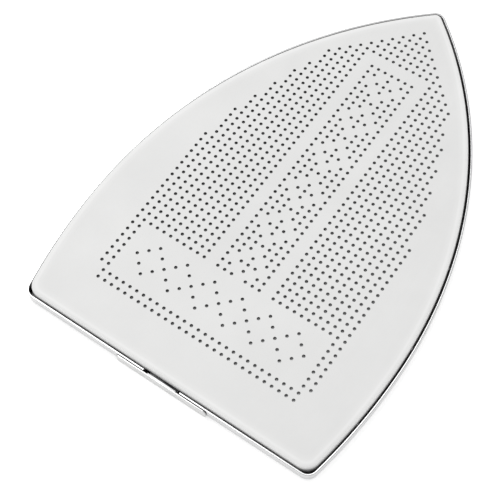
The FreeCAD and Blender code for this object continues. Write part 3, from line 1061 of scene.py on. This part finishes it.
# %% Latch rivets
def latch_rivet_pair():
    low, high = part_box("latch_rivets")
    peg = high.z - low.z
    edge = 0.08 * MM
    dimple = 0.1 * MM
    profile = [(0, 0), (shank_radius - edge, 0), (shank_radius, -edge), (shank_radius, edge - peg),
               (shank_radius - edge, -peg), (0.4 * shank_radius, -peg), (0, dimple - peg)]
    shape = piece("peg", turned("peg", profile, 20))
    points = bpy.data.meshes.new("spots")
    y = (low.y + high.y) / 2
    points.from_pydata([(side * (high.x - shank_radius), y, high.z) for side in (-1, 1)], [], [])
    looks = points.attributes.new("look", "FLOAT_VECTOR", "POINT")
    looks.data.foreach_set("vector", [value for each in points.vertices for value in OUT_Z])
    mesh = grown("latch_rivet_pair", points, set_rivets, {"Rivet": shape, "Material": rivet_finish})
    bpy.data.objects.remove(shape)
    thing = piece("latch_rivet_pair", mesh)
    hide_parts("latch_rivets")
    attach(thing, "latch")


latch_rivet_pair()

# %% [markdown]
# ## The springs
# Each spring is one wire: a loop through the anchor, a close coil, and a loop through the clamp's ear. The wire's
# path is a formula, and a small tree gives it its thickness. When the latch is pulled, the coil stretches; this piece
# is drawn at rest and is not attached to either body.

# %% Wire tree
wire_diameter = 0.6 * MM
coil_radius = 1.8 * MM
loop_radius = 2.0 * MM


def wire_tree():
    graph, given = open_tree("round_wire", Wire_Radius="Float", Material="Material")
    path = graph.node("GeometryNodeMeshToCurve", {0: given["Geometry"]})
    section = graph.node("GeometryNodeCurvePrimitiveCircle", {"Resolution": 7, "Radius": given["Wire Radius"]})
    tube = graph.node("GeometryNodeCurveToMesh", {"Curve": path, "Profile Curve": section, "Fill Caps": True})
    soft = graph.node("GeometryNodeSetShadeSmooth", {0: tube, "Shade Smooth": True})
    real = graph.node("GeometryNodeRealizeInstances", {0: soft})
    return close_tree(graph, real, given["Material"])


draw_wire = wire_tree()


# %% Spring path
def spring_path(ear, anchor):
    """Points along one wire from the loop in the ear to the loop in the anchor."""
    along = (anchor - ear).normalized()
    side = Vector((-along.y, along.x, 0))
    first = ear + along * loop_radius
    last = anchor - along * loop_radius
    points = []
    gap = math.radians(14)
    for i in range(23):
        turn = gap + (2 * math.pi - gap) * i / 22
        points.append(first + (along * math.cos(turn) + side * math.sin(turn)) * loop_radius)
    start = ear + along * (2 * loop_radius)
    length = (last - first).length - 2 * loop_radius
    turns = round(length / (wire_diameter * 1.12))
    steps = turns * 14
    for i in range(1, steps):
        share = i / steps
        rise = min(1.0, min(i, steps - i) / 9)
        radius = coil_radius * rise * rise * (3 - 2 * rise)
        turn = 2 * math.pi * turns * share
        points.append(start + along * length * share + (side * math.sin(turn) + OUT_Z * math.cos(turn)) * radius)
    for i in range(23):
        turn = math.pi + (2 * math.pi - gap) * i / 22
        points.append(last + (along * math.cos(turn) + side * math.sin(turn)) * loop_radius)
    return points


# %% Both springs
clamp_low, clamp_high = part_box("heel_clamp")
ear_y = clamp_low.y + strip / 2
half_ear = 2.5 * MM


def spring(name, node, side):
    ear = Vector((side * (clamp_high.x - half_ear), ear_y, spring_level))
    low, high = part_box(node)
    reach = max(abs(low.x), abs(high.x))
    anchor = Vector((side * (reach - wire_diameter / 2), anchor_high.y - strip / 2, spring_level))
    points = spring_path(ear, anchor)
    line = bpy.data.meshes.new(name)
    line.from_pydata(points, [(i, i + 1) for i in range(len(points) - 1)], [])
    mesh = grown(name, line, draw_wire, {"Wire Radius": wire_diameter / 2, "Material": wire_finish})
    thing = piece(name, mesh)
    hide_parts(node)
    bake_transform(thing)


spring("coil_spring_right", "spring_right", 1)
spring("coil_spring_left", "spring_left", -1)

# %% [markdown]
# ## The room
# A pale seamless floor, a round soft lamp above and a white room round it. The floor glows a little, as an evenly lit
# table does, so the shoe's shadow stays faint.


# %% Floor
def write_floor(graph, place):
    cloud = noise(graph, place, 6, 3.0)
    return {"Base Color": tint(graph, cloud, (0.90, 0.90, 0.90), (0.92, 0.92, 0.92)),
            "Emission Color": tint(graph, cloud, (1.0, 1.0, 1.0), (1.0, 1.0, 1.0))}


floor_finish = finish("pale_floor", write_floor, Roughness=0.9, Emission_Strength=0.46, Specular_IOR_Level=0.0)
floor_mesh = bpy.data.meshes.new("floor")
floor_reach = 6.0
floor_mesh.from_pydata([(-floor_reach, -floor_reach, 0), (floor_reach, -floor_reach, 0),
                        (floor_reach, floor_reach, 0), (-floor_reach, floor_reach, 0)], [], [(0, 1, 2, 3)])
floor = piece("floor", floor_mesh, floor_finish)


# %% Lamps and sky
def lamp(name, place, target, size, power):
    light = bpy.data.lights.new(name, "AREA")
    light.shape = "DISK"
    light.size = size
    light.energy = power
    thing = bpy.data.objects.new(name, light)
    bpy.context.scene.collection.objects.link(thing)
    thing.location = place
    thing.rotation_euler = (Vector(target) - Vector(place)).to_track_quat("-Z", "Y").to_euler()


world = bpy.data.worlds.new("white_room")
world.use_nodes = True
world.node_tree.nodes["Background"].inputs["Color"].default_value = (1, 1, 1, 1)
world.node_tree.nodes["Background"].inputs["Strength"].default_value = 0.72
bpy.context.scene.world = world
lamp("soft_top", place=(-0.55, 0.25, 1.3), target=(0, 0, 0), size=0.8, power=6.5)

# %% [markdown]
# ## The camera
# A short telephoto lens looks down on the heel's left corner, with the toe towards the upper right. The view is given
# by where the camera stands and which way is up for it.

# %% Camera
camera_place = Vector((0.13879, -0.22104, 0.45593))
camera_right = Vector((0.82238, 0.56797, -0.03310))
camera_up = Vector((-0.49387, 0.74155, 0.45408))
camera_back = camera_right.cross(camera_up)
camera_data = bpy.data.cameras.new("camera")
camera_data.sensor_width = 36.0
camera_data.lens = 86.21
camera_data.clip_start = 0.01
camera = bpy.data.objects.new("camera", camera_data)
bpy.context.scene.collection.objects.link(camera)
turned_to = Matrix((camera_right, camera_up, camera_back)).transposed().to_4x4()
camera.matrix_world = Matrix.Translation(camera_place) @ turned_to
bpy.context.scene.camera = camera
bpy.context.scene.view_settings.view_transform = "Standard"
